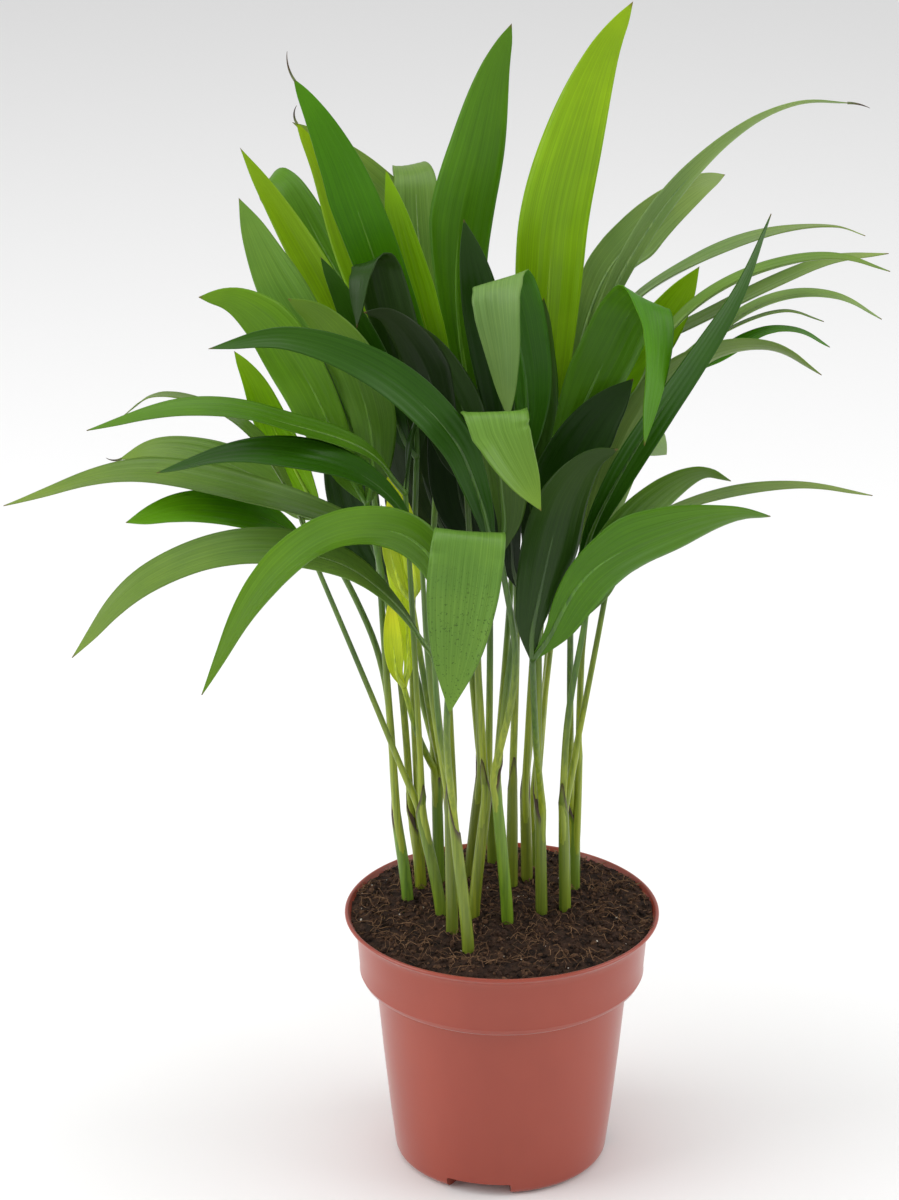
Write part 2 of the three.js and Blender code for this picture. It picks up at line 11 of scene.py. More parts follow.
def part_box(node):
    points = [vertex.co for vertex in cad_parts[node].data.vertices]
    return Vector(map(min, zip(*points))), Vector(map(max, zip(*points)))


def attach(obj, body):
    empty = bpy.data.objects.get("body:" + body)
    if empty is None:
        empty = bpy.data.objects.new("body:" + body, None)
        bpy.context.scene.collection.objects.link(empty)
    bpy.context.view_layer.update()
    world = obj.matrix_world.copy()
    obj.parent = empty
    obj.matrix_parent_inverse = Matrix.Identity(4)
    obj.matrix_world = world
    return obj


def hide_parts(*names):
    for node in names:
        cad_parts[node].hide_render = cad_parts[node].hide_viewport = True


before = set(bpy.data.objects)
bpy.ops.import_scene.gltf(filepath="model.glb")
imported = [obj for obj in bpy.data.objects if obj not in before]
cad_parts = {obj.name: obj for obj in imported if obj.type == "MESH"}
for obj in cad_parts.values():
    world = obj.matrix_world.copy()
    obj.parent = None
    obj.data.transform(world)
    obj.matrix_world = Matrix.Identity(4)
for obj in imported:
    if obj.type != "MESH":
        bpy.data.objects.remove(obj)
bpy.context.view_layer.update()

MM = 0.001
chance = random.Random(7)

# ---- Driving sizes, in metres, where the frame doesn't give them -------------------------

# The pot: radii at the named heights, then the channels and drain holes under its floor.
POT_SIDES = 160
POT_WALL = 1.4 * MM
LIP_DROP = 5 * MM
LIP_ROUNDING = 0.75 * MM
COLLAR_TOP = 55.8 * MM
COLLAR_FOOT = 54.2 * MM
COLLAR_HEIGHT = 25 * MM
BODY_TOP = 48.3 * MM
BODY_FOOT = 41 * MM
FOOT_ROUNDING = 3.9 * MM
STEP_HEIGHT = 4 * MM          # from the body's top up to the collar
CHANNELS = 3
CHANNEL_START = -13           # degrees
CHANNEL_SPREAD = 36           # degrees
CHANNEL_HEIGHT = 5 * MM
CHANNEL_INNER = 15 * MM
CHANNEL_REACH = 50 * MM
CHANNEL_ROUNDING = 1.2 * MM
DRAIN_RADIUS = 3 * MM
DRAIN_RING = 30 * MM
DRAIN_OFFSET = 9              # degrees to either side of a channel's middle

# The soil, from its highest point to where it meets the wall, and what lies on it.
SOIL_CROWN = 104.2 * MM
SOIL_EDGE = 100.6 * MM
SOIL_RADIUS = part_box("pot")[1].x - 2.2 * MM
SOIL_UNDERSIDE = 96.5 * MM
SOIL_TAPER = 0.89             # how far the underside draws in from the wall
SOIL_ROWS = 150
LUMP_HEIGHT = 1.7 * MM
GRAIN_HEIGHT = 0.6 * MM
FIBRES = 560
FIBRE_STEPS = 5
FIBRE_RADIUS = 0.13 * MM

# The blades and the rods that become stalks, sheaths, ribs and dry tails.
BLADE_ROWS = 64
BLADE_COLUMNS = 20
BLADE_PLEATS = 5
PLEAT_DEPTH = 0.014           # over half the blade's width
BLADE_THICKNESS = 0.35 * MM
BLADE_FOOT = 0.9 * MM         # half the blade's width at the fork
LIGHT_THROUGH = 0.26          # the share of light that a blade lets through
CALMING = 1.6                 # how soon pleats and cup give way where a blade bends sharply
DRY_FROM = 0.985              # the share of a lobe's length where its tip turns dry
STALK_SIDES = 12
STALK_ROWS = 30
GROOVE = 0.62                 # how near its middle a stalk's groove comes
MOUTH_DROP = 0.02             # how far a sheath's mouth starts below the stalks' feet, as a share
RIB_SHARE = 0.5               # how much of a lobe its raised middle rib runs along

# Radii in mm at even steps along each rod.
STALK_RADII = (1.5, 1.45, 1.35, 1.25, 1.15, 1.05)
RIB_RADII = (1.15, 0.7, 0.45, 0.1)
TAIL_RADII = (0.5, 0.4, 0.25, 0.08)
SHEATH_RADII = (2.5, 2.35, 2.3, 2.25, 2.2, 2.15, 2.0, 1.8, 1.5)

SHOOT_NODES = sorted(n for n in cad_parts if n.startswith("stem_"))
LEAF_NODES = sorted(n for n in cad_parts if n.startswith("leaf_"))


def paint(red, green, blue):
    """A colour given as it looks, from 0 to 255, turned into the light it reflects."""
    def channel(value):
        share = value / 255
        return share / 12.92 if share < 0.04 else ((share + 0.055) / 1.055) ** 2.4
    return (channel(red), channel(green), channel(blue))


# The two faces of a blade: the one on the outside of its bend, then the one inside it. Where a
# lobe folds over, the part that hangs shows the first and the part that rises shows the second.
TONES = {
    "spring": (paint(122, 174, 4), paint(132, 174, 14)),
    "young": (paint(206, 228, 44), paint(206, 228, 56)),
    "fresh": (paint(90, 150, 14), paint(100, 148, 30)),
    "lush": (paint(74, 138, 2), paint(84, 136, 16)),
    "mid": (paint(82, 130, 24), paint(94, 136, 44)),
    "deep": (paint(48, 96, 8), paint(62, 102, 26)),
    "dark": (paint(34, 70, 8), paint(44, 76, 18)),
    # The black tone is painted shade: near-black green for lobes deep inside the crown, where shade
    # falls.
    "black_shade": (paint(22, 46, 8), paint(30, 52, 14)),
    # The grey tone is grey-green, lightened by painted sheen on both faces.
    "grey_and_sheen": (paint(106, 142, 62), paint(116, 146, 76)),
    # The silver tone is a paler grey-green, lightened by painted sheen on both faces.
    "silver_and_sheen": (paint(130, 162, 96), paint(134, 164, 102)),
    # The pale tone's first face is lightened by painted light, for a folded part that faces up to the
    # light; its second face is the rising part's own green.
    "pale": (paint(112, 148, 80), paint(58, 112, 12)),
    # The glossy tone's first face is lightened by painted sheen, for a hanging part that faces up to the
    # light; its second face is the lobe's own green.
    "green_and_sheen": (paint(114, 160, 66), paint(72, 104, 36)),
}

# The tones of each leaf's two lobes, the one that ends further left first.
LEAF_TONES = {
    "leaf_01": ("grey_and_sheen", "deep"), "leaf_02": ("grey_and_sheen", "fresh"), "leaf_03": ("grey_and_sheen", "deep"),
    "leaf_04": ("deep", "green_and_sheen"), "leaf_05": ("fresh", "green_and_sheen"), "leaf_06": ("dark", "lush"),
    "leaf_07": ("mid", "grey_and_sheen"), "leaf_08": ("dark", "deep"), "leaf_09": ("mid", "silver_and_sheen"),
    "leaf_10": ("dark", "pale"), "leaf_11": ("deep", "lush"), "leaf_12": ("black_shade", "dark"),
    "leaf_13": ("deep", "dark"), "leaf_14": ("green_and_sheen", "spring"), "leaf_15": ("fresh", "mid"),
    "leaf_16": ("grey_and_sheen", "spring"), "leaf_17": ("mid", "dark"), "leaf_18": ("spring", "lush"),
    "leaf_19": ("spring", "lush"), "leaf_20": ("spring", "spring"), "leaf_21": ("silver_and_sheen", "silver_and_sheen"),
    "leaf_22": ("silver_and_sheen", "silver_and_sheen"), "leaf_23": ("silver_and_sheen", "grey_and_sheen"), "leaf_24": ("grey_and_sheen", "lush"),
    "leaf_25": ("young", "young"), "leaf_26": ("young", "young"), "leaf_27": ("black_shade", "black_shade"),
    "leaf_28": ("black_shade", "black_shade"), "leaf_29": ("black_shade", "dark"), "leaf_30": ("mid", "grey_and_sheen"),
    "leaf_31": ("grey_and_sheen", "mid"), "leaf_32": ("mid", "mid"), "leaf_33": ("mid", "mid"),
    "leaf_34": ("mid", "deep"), "leaf_35": ("dark", "black_shade"),
}

# Lobes freckled with dark specks.
SPECKLED = {("leaf_05", 1)}
SPECK = paint(42, 74, 16)

# Lobes whose tip has dried into a thin tail: how long it is, and how far it turns, in degrees.
TAILS = {
    ("leaf_18", 1): (11 * MM, -35), ("leaf_18", 0): (7 * MM, -60), ("leaf_30", 0): (16 * MM, 40),
    ("leaf_16", 0): (6 * MM, -50), ("leaf_21", 1): (9 * MM, -20),
}

STALK_LOW = paint(136, 152, 40)
STALK_HIGH = paint(72, 104, 24)
SHEATH_FOOT = paint(112, 112, 50)
DRY = paint(62, 44, 22)
DRY_GREEN = paint(96, 110, 60)
DRY_TIP = paint(120, 100, 50)
POT_DARK = paint(148, 54, 32)
POT_LIGHT = paint(156, 61, 39)


# ---- Camera, floor and light ------------------------------------------------------------

CAMERA_PLACE = (-0.020, -1.3474, 0.7612)
CAMERA_TILT = 68.43
CAMERA_LENS = 117.5
LIGHTS_AIM = (0, 0, 0.25)
PALE = 0.9


def set_camera():
    bpy.ops.object.camera_add(location=CAMERA_PLACE, rotation=(math.radians(CAMERA_TILT), 0, 0))
    camera = bpy.context.object
    camera.data.sensor_width = 36
    camera.data.lens = CAMERA_LENS
    camera.data.clip_end = 50
    bpy.context.scene.camera = camera


def area_light(name, place, size, power):
    bpy.ops.object.light_add(type="AREA", location=place)
    light = bpy.context.object
    light.name = name
    light.data.size = size
    light.data.energy = power
    aim = Vector(LIGHTS_AIM) - Vector(place)
    light.rotation_euler = aim.to_track_quat("-Z", "Y").to_euler()


def set_stage():
    bpy.ops.object.select_all(action="DESELECT")
    bpy.ops.mesh.primitive_plane_add(size=30, location=(0, 0, -0.0002))
    floor = bpy.context.object
    floor.name = "floor"
    material = bpy.data.materials.new("floor_paper")
    material.use_nodes = True
    shader = material.node_tree.nodes["Principled BSDF"]
    shader.inputs["Base Color"].default_value = (PALE, PALE, PALE, 1)
    shader.inputs["Roughness"].default_value = 0.9
    floor.data.materials.append(material)
    area_light("left_box", (-1.5, -0.35, 0.8), 1.3, 15)
    area_light("right_box", (1.6, -0.15, 0.8), 1.3, 13)
    area_light("top_box", (-0.2, 0.1, 1.9), 1.4, 14)
    world = bpy.context.scene.world or bpy.data.worlds.new("world")
    bpy.context.scene.world = world
    world.use_nodes = True
    background = world.node_tree.nodes["Background"]
    background.inputs["Color"].default_value = (1, 1, 1, 1)
    background.inputs["Strength"].default_value = 0.62
    bpy.context.scene.view_settings.view_transform = "Standard"


# ---- Handling of pieces ------------------------------------------------------------------

def take_up(piece):
    """Makes the piece the only one selected."""
    bpy.ops.object.select_all(action="DESELECT")
    piece.select_set(True)
    bpy.context.view_layer.objects.active = piece


def settle(piece):
    """Puts a piece's place into its mesh, with its object at the origin."""
    take_up(piece)
    bpy.ops.object.transform_apply(location=True, rotation=True, scale=True)


def copy_of(master, name):
    """A copy with a mesh of its own."""
    piece = master.copy()
    piece.data = master.data.copy()
    piece.name = name
    bpy.context.scene.collection.objects.link(piece)
    return piece


def joined(pieces, name):
    """The pieces as one, under one name."""
    take_up(pieces[0])
    for piece in pieces:
        piece.select_set(True)
    bpy.ops.object.join()
    pieces[0].name = name
    pieces[0].data.name = name
    return pieces[0]


def discard(piece):
    bpy.data.objects.remove(piece)


def coordinates(piece):
    """Where the piece's vertices are, one row each."""
    flat = np.empty(len(piece.data.vertices) * 3)
    piece.data.vertices.foreach_get("co", flat)
    return flat.reshape(-1, 3)


def place_vertices(piece, points):
    """Moves each vertex to its row of the points."""
    piece.data.vertices.foreach_set("co", np.asarray(points, float).ravel())
    piece.data.update()


def paint_vertices(piece, colours):
    """Stores a colour for each vertex, which the materials read as tone."""
    stored = piece.data.attributes
    tone = stored.get("tone") or stored.new("tone", "FLOAT_COLOR", "POINT")
    with_alpha = np.ones((len(colours), 4))
    with_alpha[:, :3] = colours
    tone.data.foreach_set("color", with_alpha.ravel())


def choose(piece, test):
    """Leaves the piece in edit mode with just the vertices that pass the test selected."""
    take_up(piece)
    bpy.ops.object.mode_set(mode="EDIT")
    bpy.ops.mesh.select_mode(type="VERT")
    bpy.ops.mesh.select_all(action="DESELECT")
    bpy.ops.object.mode_set(mode="OBJECT")
    for vertex in piece.data.vertices:
        vertex.select = test(vertex.co)
    bpy.ops.object.mode_set(mode="EDIT")


def finish_piece(piece, material, slot, *nodes):
    """Gives a piece its material, hangs it under the root body and hides the nodes it stands for."""
    if material is not None:
        piece.data.materials.clear()
        piece.data.materials.append(material)
    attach(piece, "root")
    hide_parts(*nodes)


# ---- Materials ---------------------------------------------------------------------------

class Recipe:
    """A material being put together from nodes."""

    def __init__(self, name):
        self.material = bpy.data.materials.new(name)
        self.material.use_nodes = True
        self.tree = self.material.node_tree
        self.shader = self.tree.nodes["Principled BSDF"]
        self.output = self.tree.nodes["Material Output"]

    def node(self, kind, **settings):
        made = self.tree.nodes.new(kind)
        for key, value in settings.items():
            setattr(made, key, value)
        return made

    def link(self, source, target):
        self.tree.links.new(source, target)

    def fill(self, socket, value):
        """Sets a number or a colour, or links what another node gives."""
        if isinstance(value, (int, float)):
            socket.default_value = value
        elif isinstance(value, tuple):
            socket.default_value = (*value, 1)
        else:
            self.link(value, socket)

    def number(self, operation, first, second):
        made = self.node("ShaderNodeMath", operation=operation)
        self.fill(made.inputs[0], first)
        self.fill(made.inputs[1], second)
        return made.outputs[0]

    def scaled(self, where, scale):
        mapping = self.node("ShaderNodeMapping")
        mapping.inputs["Scale"].default_value = scale
        self.link(where, mapping.inputs["Vector"])
        return mapping.outputs[0]

    def place(self, *scale):
        """The place on the piece, in metres, scaled each way."""
        return self.scaled(self.node("ShaderNodeTexCoord").outputs["Object"], scale or (1, 1, 1))

    def attribute(self, name, kind):
        return self.node("ShaderNodeAttribute", attribute_name=name).outputs[kind]

    def noise(self, where, scale, detail=3, roughness=0.55):
        made = self.node("ShaderNodeTexNoise")
        made.inputs["Scale"].default_value = scale
        made.inputs["Detail"].default_value = detail
        made.inputs["Roughness"].default_value = roughness
        self.link(where, made.inputs["Vector"])
        return made.outputs["Fac"]

    def levels(self, value, low, high, out_low=0.0, out_high=1.0):
        """The value, stretched so that low becomes out_low and high becomes out_high."""
        made = self.node("ShaderNodeMapRange")
        made.inputs["From Min"].default_value = low
        made.inputs["From Max"].default_value = high
        made.inputs["To Min"].default_value = out_low
        made.inputs["To Max"].default_value = out_high
        self.link(value, made.inputs["Value"])
        return made.outputs[0]

    def mix(self, factor, first, second, blend="MIX"):
        made = self.node("ShaderNodeMix", data_type="RGBA", blend_type=blend)
        self.fill(made.inputs[0], factor)
        self.fill(made.inputs[6], first)
        self.fill(made.inputs[7], second)
        return made.outputs[2]

    def bump(self, height, strength, distance, under=None):
        made = self.node("ShaderNodeBump")
        made.inputs["Strength"].default_value = strength
        made.inputs["Distance"].default_value = distance
        self.link(height, made.inputs["Height"])
        if under is not None:
            self.link(under, made.inputs["Normal"])
        return made.outputs[0]

    def set(self, **values):
        """Fills the shader's sockets, named with _ for each space."""
        for key, value in values.items():
            self.fill(self.shader.inputs[key.replace("_", " ")], value)


def blade_finish():
    """A waxy palm blade: fine veins along it, soft streaks, and light coming through."""
    recipe = Recipe("palm_blade")
    tone = recipe.attribute("tone", "Color")
    uv = recipe.node("ShaderNodeUVMap").outputs[0]

    def bands(count, distortion, low, high):
        wave = recipe.node("ShaderNodeTexWave", wave_type="BANDS", bands_direction="X")
        wave.inputs["Scale"].default_value = 1 / math.pi
        wave.inputs["Distortion"].default_value = distortion
        recipe.link(recipe.scaled(uv, (count, 0.6, 1)), wave.inputs["Vector"])
        return recipe.levels(wave.outputs["Fac"], low, high)

    ribs = bands(11, 0.5, 0.86, 1.0)
    veins = bands(34, 1.5, 0.55, 1.0)
    streaks = recipe.noise(recipe.scaled(uv, (60, 2.2, 1)), 1.0, 4, 0.65)
    patches = recipe.noise(recipe.place(), 34, 2)
    light = recipe.mix(1.0, tone, (1.6, 1.4, 1.2), "MULTIPLY")
    dark = recipe.mix(1.0, tone, (0.7, 0.74, 0.6), "MULTIPLY")
    base = recipe.mix(recipe.levels(streaks, 0.36, 0.62), dark, tone)
    base = recipe.mix(recipe.levels(patches, 0.45, 0.72, 0, 0.3), base, light)
    base = recipe.mix(recipe.number("MULTIPLY", veins, 0.12), base, light)
    rib_depth = recipe.number("MULTIPLY", ribs, recipe.levels(patches, 0.35, 0.65, 0.08, 0.34))
    base = recipe.mix(rib_depth, base, light)
    specks = recipe.levels(recipe.noise(recipe.place(), 1150, 1), 0.63, 0.7, 0, 0.8)
    speckled = recipe.attribute("speckled", "Fac")
    base = recipe.mix(recipe.number("MULTIPLY", specks, speckled), base, SPECK)
    height = recipe.number("ADD", recipe.number("MULTIPLY", ribs, 0.8), streaks)
    normal = recipe.bump(height, 0.1, 0.0003)
    wax = recipe.levels(streaks, 0.3, 0.7, 0.24, 0.36)
    bloom = recipe.levels(patches, 0.3, 0.7, 0, 0.14)
    recipe.set(Base_Color=base, Roughness=recipe.number("ADD", wax, bloom), Normal=normal)
    recipe.shader.inputs["Specular IOR Level"].default_value = 0.28
    through = recipe.node("ShaderNodeBsdfTranslucent")
    recipe.link(recipe.mix(1.0, base, (2.1, 1.8, 0.5), "MULTIPLY"), through.inputs["Color"])
    recipe.link(normal, through.inputs["Normal"])
    both = recipe.node("ShaderNodeMixShader")
    both.inputs[0].default_value = LIGHT_THROUGH
    recipe.link(recipe.shader.outputs[0], both.inputs[1])
    recipe.link(through.outputs[0], both.inputs[2])
    recipe.link(both.outputs[0], recipe.output.inputs["Surface"])
    return recipe.material


def stalk_finish():
    """Smooth green stalk skin with fine lines along it."""
    recipe = Recipe("palm_stalk")
    tone = recipe.attribute("tone", "Color")
    lines = recipe.noise(recipe.place(900, 900, 14), 1.0, 3, 0.6)
    mottle = recipe.noise(recipe.place(120, 120, 30), 1.0, 2)
    dark = recipe.mix(1.0, tone, (0.6, 0.68, 0.6), "MULTIPLY")
    light = recipe.mix(1.0, tone, (1.3, 1.22, 1.0), "MULTIPLY")
    base = recipe.mix(recipe.levels(lines, 0.35, 0.65), dark, light)
    base = recipe.mix(recipe.levels(mottle, 0.4, 0.7, 0, 0.5), base, tone)
    recipe.set(Base_Color=base, Roughness=0.38, Normal=recipe.bump(lines, 0.15, 0.0002))
    return recipe.material


def pot_finish():
    """Thin terracotta-coloured plastic, satin, with the faint rings and grain of moulding."""
    recipe = Recipe("pot_plastic")
    grain = recipe.noise(recipe.place(), 2600, 2)
    rings = recipe.noise(recipe.place(4, 4, 700), 1.0, 2)
    smears = recipe.noise(recipe.place(1, 1, 0.5), 26, 4, 0.6)
    base = recipe.mix(recipe.levels(smears, 0.35, 0.7), POT_DARK, POT_LIGHT)
    normal = recipe.bump(grain, 0.06, 0.0002)
    normal = recipe.bump(rings, 0.03, 0.0006, normal)
    recipe.set(Base_Color=base, Roughness=recipe.levels(smears, 0.3, 0.7, 0.34, 0.44), Normal=normal)
    recipe.shader.inputs["Coat Weight"].default_value = 0.35
    recipe.shader.inputs["Coat Roughness"].default_value = 0.25
    recipe.shader.inputs["Sheen Weight"].default_value = 0.3
    recipe.shader.inputs["Sheen Roughness"].default_value = 0.25
    recipe.shader.inputs["Subsurface Weight"].default_value = 0.06
    recipe.shader.inputs["Subsurface Radius"].default_value = (0.004, 0.0015, 0.001)
    return recipe.material


def soil_finish(name, dark, light, scale):
    """Peat: brown specks of different depth, dry on top."""
    recipe = Recipe(name)
    where = recipe.place()
    coarse = recipe.noise(where, scale, 5, 0.7)
    fine = recipe.noise(where, scale * 6, 3, 0.6)
    base = recipe.mix(recipe.levels(coarse, 0.36, 0.66), dark, light)
    base = recipe.mix(recipe.levels(fine, 0.45, 0.75, 0, 0.6), base, tuple(0.4 * c for c in dark))
    recipe.set(Base_Color=base, Roughness=0.95, Normal=recipe.bump(fine, 0.8, 0.0006))
    recipe.shader.inputs["Specular IOR Level"].default_value = 0.2
    return recipe.material


# ---- Pot ---------------------------------------------------------------------------------

def arc(centre_radius, centre_height, radius, start, end, steps):
    """Points (radius, height) round an arc; angles in degrees, 0 outwards and 90 up."""
    angles = [math.radians(start + (end - start) * i / steps) for i in range(steps + 1)]
    return [(centre_radius + radius * math.cos(a), centre_height + radius * math.sin(a)) for a in angles]


def pot_outline(height, lip):
    """The wall's section from the middle of the underside, over the lip, to the inner floor."""
    collar_foot = height - COLLAR_HEIGHT
    body_top = collar_foot - STEP_HEIGHT
    foot = arc(BODY_FOOT - FOOT_ROUNDING, 4 * MM, FOOT_ROUNDING, -84, -6, 7)
    body = [
        (BODY_FOOT + 2 * MM, 20 * MM),
        (BODY_FOOT + 4.6 * MM, 45 * MM),
        (BODY_TOP - 0.3 * MM, body_top - 2 * MM),
        (BODY_TOP, body_top),
    ]
    step = [
        (BODY_TOP + 2.2 * MM, body_top + 1.1 * MM),
        (COLLAR_FOOT - 1.5 * MM, body_top + 2.5 * MM),
        (COLLAR_FOOT - 0.5 * MM, body_top + 3.3 * MM),
    ]
    collar = [
        (COLLAR_FOOT, collar_foot + 0.4 * MM),
        (COLLAR_FOOT + 0.25 * MM, collar_foot + 0.9 * MM),
        (COLLAR_FOOT + 0.1 * MM, collar_foot + 1.6 * MM),
        (COLLAR_FOOT + 0.7 * MM, collar_foot + 9 * MM),
        (COLLAR_TOP - 0.2 * MM, height - LIP_DROP - 2 * MM),
        (COLLAR_TOP, height - LIP_DROP),
    ]
    flare = [
        (COLLAR_TOP + 0.5 * MM, height - 4.2 * MM),
        (COLLAR_TOP + 1.8 * MM, height - 2.8 * MM),
        (lip - 1 * MM, height - 1.9 * MM),
    ]
    rolled = arc(lip - LIP_ROUNDING, height - LIP_ROUNDING, LIP_ROUNDING, -60, 170, 9)
    inside = [
        (lip - 2.2 * MM, height - 1.6 * MM),
        (COLLAR_TOP, height - 3.4 * MM),
        (COLLAR_TOP - POT_WALL, height - 5.4 * MM),
        (COLLAR_FOOT - POT_WALL, collar_foot + 0.6 * MM),
        (BODY_TOP - POT_WALL, body_top + 0.6 * MM),
        (BODY_FOOT - POT_WALL, 8 * MM),
        (BODY_FOOT - 3 * MM, CHANNEL_HEIGHT + POT_WALL),
    ]
    underside = [(CHANNEL_INNER, 0), (BODY_FOOT - 4 * MM, 0)]
    return underside + foot + body + step + collar + flare + rolled + inside


def turned_shell(name, outline, sides):
    """Draws a disc up through the outline's rings into one closed wall."""
    first_radius, first_height = outline[0]
    bpy.ops.object.select_all(action="DESELECT")
    bpy.ops.mesh.primitive_circle_add(
        vertices=sides, radius=first_radius, fill_type="NGON", location=(0, 0, first_height))
    shell = bpy.context.object
    shell.name = name
    bpy.ops.object.transform_apply(location=True)
    bpy.ops.object.mode_set(mode="EDIT")
    bpy.ops.mesh.select_all(action="SELECT")
    for (radius, height), (next_radius, next_height) in zip(outline, outline[1:]):
        bpy.ops.mesh.extrude_region_move(TRANSFORM_OT_translate={"value": (0, 0, next_height - height)})
        growth = next_radius / radius
        bpy.ops.transform.resize(value=(growth, growth, 1), center_override=(0, 0, next_height))
    bpy.ops.mesh.select_all(action="SELECT")
    bpy.ops.mesh.normals_make_consistent(inside=False)
    bpy.ops.object.mode_set(mode="OBJECT")
    return shell


def channel_cutter(middle):
    """A block that clears one channel under the floor, wider towards the wall."""
    length = CHANNEL_REACH - CHANNEL_INNER
    narrow = 2 * CHANNEL_INNER * math.tan(math.radians(CHANNEL_SPREAD / 2))
    bpy.ops.object.select_all(action="DESELECT")
    bpy.ops.mesh.primitive_cube_add(size=1, location=(0, -CHANNEL_INNER - length / 2, 0))
    block = bpy.context.object
    block.scale = (narrow, length, 2 * CHANNEL_HEIGHT)
    bpy.ops.object.transform_apply(location=True, scale=True)
    growth = CHANNEL_REACH / CHANNEL_INNER
    choose(block, lambda co: co.y < -CHANNEL_REACH + MM)
    bpy.ops.transform.resize(value=(growth, 1, 1), center_override=(0, -CHANNEL_REACH, 0))
    bpy.ops.object.mode_set(mode="OBJECT")
    bevel = block.modifiers.new("rounding", "BEVEL")
    bevel.width = CHANNEL_ROUNDING
    bevel.segments = 3
    bpy.ops.object.modifier_apply(modifier=bevel.name)
    block.rotation_euler.z = math.radians(middle)
    bpy.ops.object.transform_apply(rotation=True)
    return block


def drain_cutter(angle):
    """A rod that clears one drain hole, up through a channel's roof."""
    turn = math.radians(angle)
    place = (DRAIN_RING * math.sin(turn), -DRAIN_RING * math.cos(turn), 0)
    bpy.ops.object.select_all(action="DESELECT")
    bpy.ops.mesh.primitive_cylinder_add(vertices=24, radius=DRAIN_RADIUS, depth=40 * MM, location=place)
    settle(bpy.context.object)
    return bpy.context.object


def cut_away(piece, cutter):
    """Takes the cutter's shape out of the piece, and the cutter away."""
    take_up(piece)
    boolean = piece.modifiers.new("cut", "BOOLEAN")
    boolean.operation = "DIFFERENCE"
    boolean.solver = "EXACT"
    boolean.object = cutter
    bpy.ops.object.modifier_apply(modifier=boolean.name)
    discard(cutter)


def make_pot(finish):
    """The pot, turned, with three channels and two drain holes in each."""
    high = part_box("pot")[1]
    pot = turned_shell("grower_pot", pot_outline(high.z, high.x), POT_SIDES)
    for i in range(CHANNELS):
        middle = CHANNEL_START + 360 / CHANNELS * i
        cut_away(pot, channel_cutter(middle))
        for side in (-1, 1):
            cut_away(pot, drain_cutter(middle + side * DRAIN_OFFSET))
    take_up(pot)
    bpy.ops.object.shade_smooth_by_angle(angle=math.radians(32))
    finish_piece(pot, finish, "pot", "pot")


# ---- Soil --------------------------------------------------------------------------------

def soil_level(x, y):
    """The height of the soil, domed and a little lumpy."""
    out = math.hypot(x, y) / SOIL_RADIUS
    dome = SOIL_CROWN + (SOIL_EDGE - SOIL_CROWN) * out * out
    lumps = noise.fractal(Vector((x, y, 0)) * 90, 1.0, 2.1, 4)
    return dome + LUMP_HEIGHT * lumps * (1.1 - 0.7 * out)


def make_soil_bed(finish):
    """A disc of peat, its top raised into lumps, closed underneath."""
    radius = SOIL_RADIUS + 0.4 * MM
    bpy.ops.object.select_all(action="DESELECT")
    bpy.ops.mesh.primitive_grid_add(
        x_subdivisions=SOIL_ROWS, y_subdivisions=SOIL_ROWS, size=2 * radius)
    bed = bpy.context.object
    bed.name = "soil_bed"
    choose(bed, lambda co: math.hypot(co.x, co.y) > radius)
    bpy.ops.mesh.delete(type="VERT")
    bpy.ops.mesh.select_all(action="SELECT")
    bpy.ops.mesh.extrude_region_move(TRANSFORM_OT_translate={"value": (0, 0, 1)})
    bpy.ops.object.mode_set(mode="OBJECT")
    points = coordinates(bed)
    for point in points:
        raised = point[2] > 0.5
        if raised:
            fine = noise.fractal(Vector((point[0], point[1], 3)) * 420, 1.0, 2.0, 3)
            point[2] = soil_level(point[0], point[1]) + GRAIN_HEIGHT * fine
        else:
            point[:2] *= SOIL_TAPER
            point[2] = SOIL_UNDERSIDE
    place_vertices(bed, points)
    take_up(bed)
    bpy.ops.object.mode_set(mode="EDIT")
    bpy.ops.mesh.select_all(action="SELECT")
    bpy.ops.mesh.normals_make_consistent(inside=False)
    bpy.ops.object.mode_set(mode="OBJECT")
    bpy.ops.object.shade_smooth_by_angle(angle=math.radians(50))
    finish_piece(bed, finish, "soil", "soil")


def crumb_master(sharpness):
    """A little lump, its corners pushed in and out."""
    bpy.ops.object.select_all(action="DESELECT")
    bpy.ops.mesh.primitive_ico_sphere_add(subdivisions=1, radius=1)
    crumb = bpy.context.object
    for vertex in crumb.data.vertices:
        vertex.co *= 1 + chance.uniform(-sharpness, sharpness)
    return crumb


def scattered(name, masters, count, place, size):
    """Many copies of the masters as one mesh, each turned and stretched its own way."""
    points = []
    faces = []
    shapes = [(coordinates(m), [tuple(p.vertices) for p in m.data.polygons]) for m in masters]
    for _ in range(count):
        shape, corners = chance.choice(shapes)
        x, y, lift = place()
        axis = Vector((chance.gauss(0, 1), chance.gauss(0, 1), chance.gauss(0, 1))).normalized()
        turn = np.array(axis.to_track_quat("Z", "Y").to_matrix())
        stretch = size() * np.array(
            [chance.uniform(0.6, 1.3), chance.uniform(0.6, 1.2), chance.uniform(0.5, 0.9)])
        first = len(points)
        middle = np.array([x, y, soil_level(x, y) + lift])
        points.extend((shape * stretch) @ turn.T + middle)
        faces.extend([tuple(first + c for c in face) for face in corners])
    mesh = bpy.data.meshes.new(name)
    mesh.from_pydata([tuple(p) for p in points], [], faces)
    piece = bpy.data.objects.new(name, mesh)
    bpy.context.scene.collection.objects.link(piece)
    return piece


def on_soil():
    """A chance place on the soil, evenly spread."""
    radius = (SOIL_RADIUS - 1.2 * MM) * math.sqrt(chance.random())
    angle = chance.uniform(0, 2 * math.pi)
    return radius * math.cos(angle), radius * math.sin(angle)


